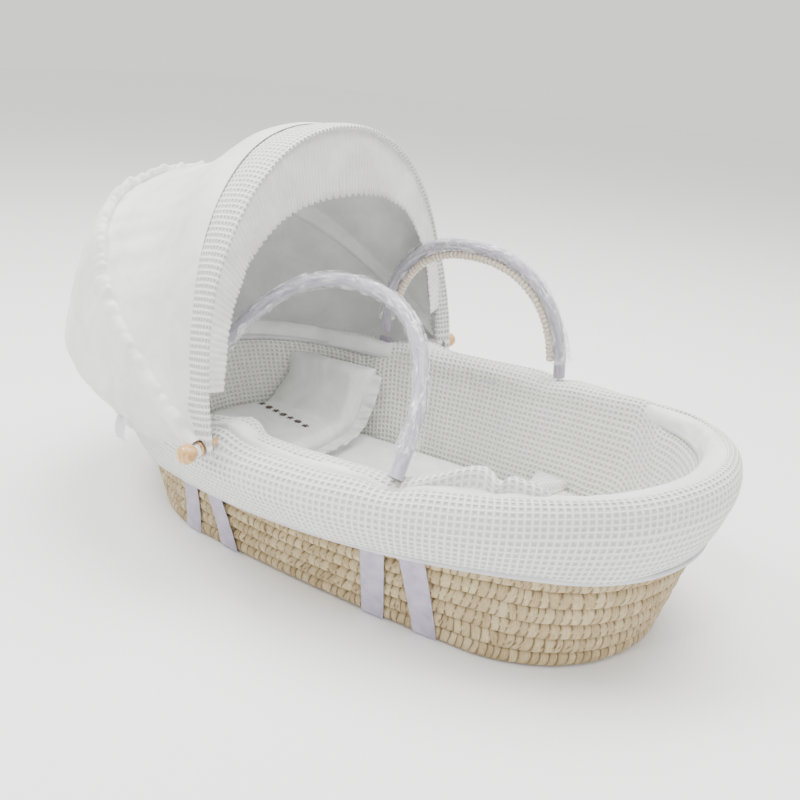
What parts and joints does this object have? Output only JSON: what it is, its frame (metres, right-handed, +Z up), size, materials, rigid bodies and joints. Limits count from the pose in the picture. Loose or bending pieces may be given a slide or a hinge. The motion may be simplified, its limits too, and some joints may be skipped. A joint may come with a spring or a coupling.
{
  "type": "bassinet basket",
  "caption": "Oval coiled rope baby basket with a dressed padded liner, folding fabric hood on wooden pegs, carrying handles and bedding",
  "frame": {"origin": "on the floor under the middle of the woven base", "axes": "+X from the head (hood) end to the foot end, +Y to the far side, +Z up"},
  "size_m": [0.893, 0.5882, 0.5142],
  "materials": {
    "palm_rope": "natural twisted maize leaf",
    "lilac_tape": "woven cotton tape",
    "waffle_cotton": "waffle pique cotton",
    "plain_cotton": "plain woven cotton",
    "lace": "gathered voile with a scalloped edge",
    "foam": "soft foam",
    "beech": "clear varnished beech",
    "satin_ribbon": "satin",
    "bow_steel": "drawn wire",
    "handle_core": "cotton piping cord",
    "handle_fabric": "grey lilac cotton",
    "clear_film": "thin clear film",
    "cream_wrap": "ribbed foam sleeve"
  },
  "bodies": {
    "basket": {"basket_wall": "palm_rope", "rim_coil": "palm_rope", "basket_base": "palm_rope", "front_tape_head": "lilac_tape", "front_tape_foot": "lilac_tape", "rear_tape_head": "lilac_tape", "rear_tape_foot": "lilac_tape", "side_bumper": "waffle_cotton", "rim_roll": "waffle_cotton", "rim_facing": "plain_cotton", "rim_piping": "plain_cotton", "skirt_hem": "plain_cotton", "strap_lugs": "lilac_tape", "hood_peg_near": "beech", "hood_peg_far": "beech", "peg_collar_near": "beech", "peg_collar_far": "beech", "peg_button_near": "beech", "peg_button_far": "beech", "ribbon_tie_near": "satin_ribbon", "ribbon_tie_far": "satin_ribbon", "rear_panel": "plain_cotton", "care_label": "satin_ribbon"},
    "mattress": {"mattress_core": "foam", "mattress_cover": "plain_cotton"},
    "pillow": {"pillow": "plain_cotton", "pillow_frill": "plain_cotton"},
    "coverlet": {"coverlet": "waffle_cotton", "coverlet_fold": "waffle_cotton"},
    "hood_middle": {"mid_bow": "bow_steel", "bow_casing": "plain_cotton", "front_panel": "plain_cotton"},
    "hood_front": {"front_bow": "bow_steel", "front_band": "waffle_cotton", "front_frill": "lace"},
    "handle_near": {"handle_core_near": "handle_core", "handle_sleeve_near": "handle_fabric", "handle_film_near": "clear_film"},
    "handle_far": {"handle_core_far": "handle_core", "handle_sleeve_far": "handle_fabric", "handle_film_far": "clear_film", "handle_wrap_far": "cream_wrap"}
  },
  "joints": [
    {"name": "mattress_lift", "type": "slide", "parent": "basket", "child": "mattress", "axis": [0, 0, 1], "range_m": [0, 0.05]},
    {"name": "pillow_lift", "type": "slide", "parent": "mattress", "child": "pillow", "axis": [0, 0, 1], "range_m": [0, 0.04]},
    {"name": "coverlet_lift", "type": "slide", "parent": "mattress", "child": "coverlet", "axis": [0, 0, 1], "range_m": [0, 0.04]},
    {"name": "hood_middle_fold", "type": "hinge", "parent": "basket", "child": "hood_middle", "pos_m": [-0.1, 0, 0.184], "axis": [0, 1, 0], "range_deg": [-24, 0]},
    {"name": "hood_front_fold", "type": "hinge", "parent": "hood_middle", "child": "hood_front", "pos_m": [-0.1, 0, 0.184], "axis": [0, 1, 0], "range_deg": [-31.5, 0]},
    {"name": "handle_near_swing", "type": "hinge", "parent": "basket", "child": "handle_near", "pos_m": [-0.026, -0.21, 0.198], "axis": [1, 0, 0], "range_deg": [-25, 24]},
    {"name": "handle_far_swing", "type": "hinge", "parent": "basket", "child": "handle_far", "pos_m": [-0.026, 0.21, 0.198], "axis": [1, 0, 0], "range_deg": [0, 50]}
  ]
}
